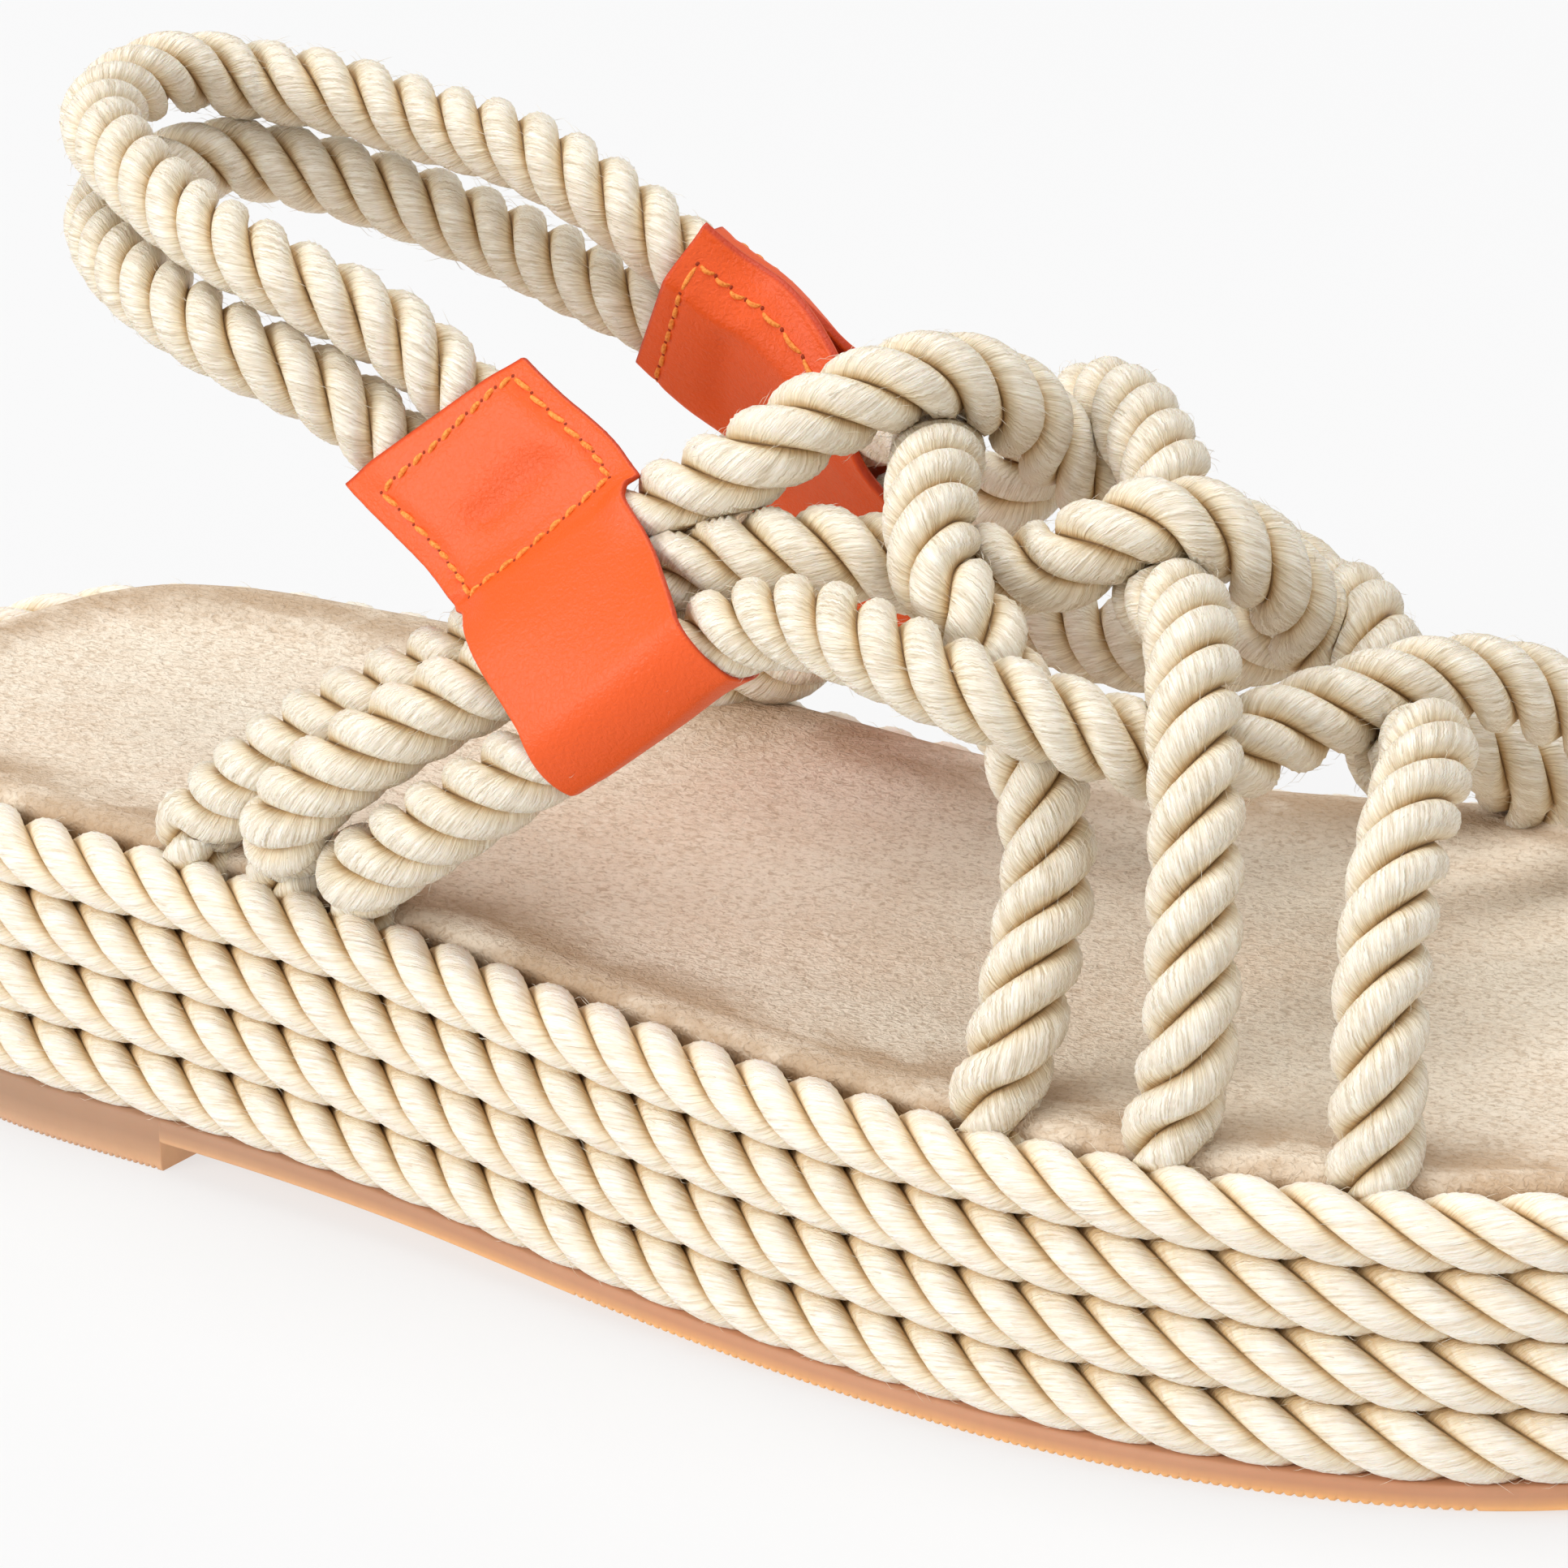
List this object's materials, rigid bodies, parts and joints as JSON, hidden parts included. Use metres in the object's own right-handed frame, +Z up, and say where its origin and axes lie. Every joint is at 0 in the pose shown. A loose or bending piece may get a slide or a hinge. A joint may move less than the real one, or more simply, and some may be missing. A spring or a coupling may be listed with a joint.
{
  "type": "rope sandal",
  "caption": "Open sandal with a rope-wrapped wedge platform, a woven rope upper, looped leather tabs and a doubled rope slingback.",
  "frame": {"origin": "on the ground under the heel, 26 mm in front of the back of the footbed", "axes": "+X towards the toe, +Y towards the inner side of the foot, +Z up"},
  "size_m": [0.2614, 0.1008, 0.0991],
  "materials": {
    "gum_rubber": "satin, slightly translucent",
    "board": "matte fibre board",
    "sole_cord": "twisted fibre, matte with a soft sheen",
    "upper_cord": "twisted silky fibre, satin sheen",
    "suede": "napped, matte",
    "orange_leather": "smooth grain, semi-gloss"
  },
  "bodies": {
    "root": {"outsole": "gum_rubber", "midsole": "board", "sole_rope_1": "sole_cord", "sole_rope_2": "sole_cord", "sole_rope_3": "sole_cord", "sole_rope_4": "sole_cord", "footbed": "suede", "upper": "upper_cord", "strap_tab_outer": "orange_leather", "strap_tab_inner": "orange_leather", "slingback_rope_upper": "upper_cord", "slingback_rope_lower": "upper_cord"}
  },
  "joints": []
}
